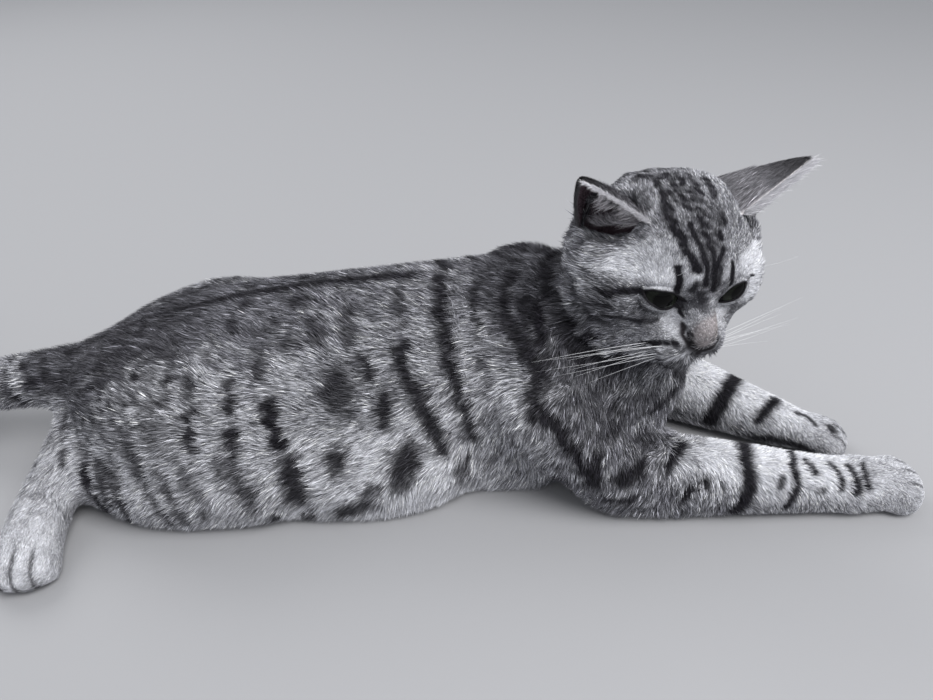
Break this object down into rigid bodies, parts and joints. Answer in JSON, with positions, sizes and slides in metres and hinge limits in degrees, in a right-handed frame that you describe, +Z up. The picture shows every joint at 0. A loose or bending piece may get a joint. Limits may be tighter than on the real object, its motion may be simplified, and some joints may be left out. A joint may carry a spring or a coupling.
{
  "type": "cat",
  "caption": "Life-size spotted silver tabby cat lying alert on its belly, forelegs stretched ahead, head turned and looking down, tail curved on the floor.",
  "frame": {"origin": "on the floor under the middle of the chest", "axes": "+X from the tail to the forepaws, +Y to the cat's left, +Z up from the floor"},
  "size_m": [0.74, 0.2895, 0.2103],
  "materials": {
    "coat": "short ticked silver fur with dark spots and bars",
    "pale_coat": "short pale silver fur of forelegs and feet",
    "ear_skin": "thin skin, short fur outside, nearly bare inside",
    "nose_leather": "fine-grained damp skin",
    "eye": "wet and clear over a dark green-grey iris"
  },
  "bodies": {
    "root": {"head": "coat", "neck": "coat", "trunk": "coat", "right_ear": "ear_skin", "left_ear": "ear_skin", "right_eye": "eye", "left_eye": "eye", "nose": "nose_leather", "right_upper_arm": "coat", "left_upper_arm": "coat", "right_forearm": "pale_coat", "left_forearm": "pale_coat", "right_thigh": "coat", "left_thigh": "coat", "right_hock": "coat", "right_hind_foot": "pale_coat", "left_hind_foot": "pale_coat", "tail_root": "coat", "tail_middle": "coat", "tail_end": "coat"}
  },
  "joints": []
}
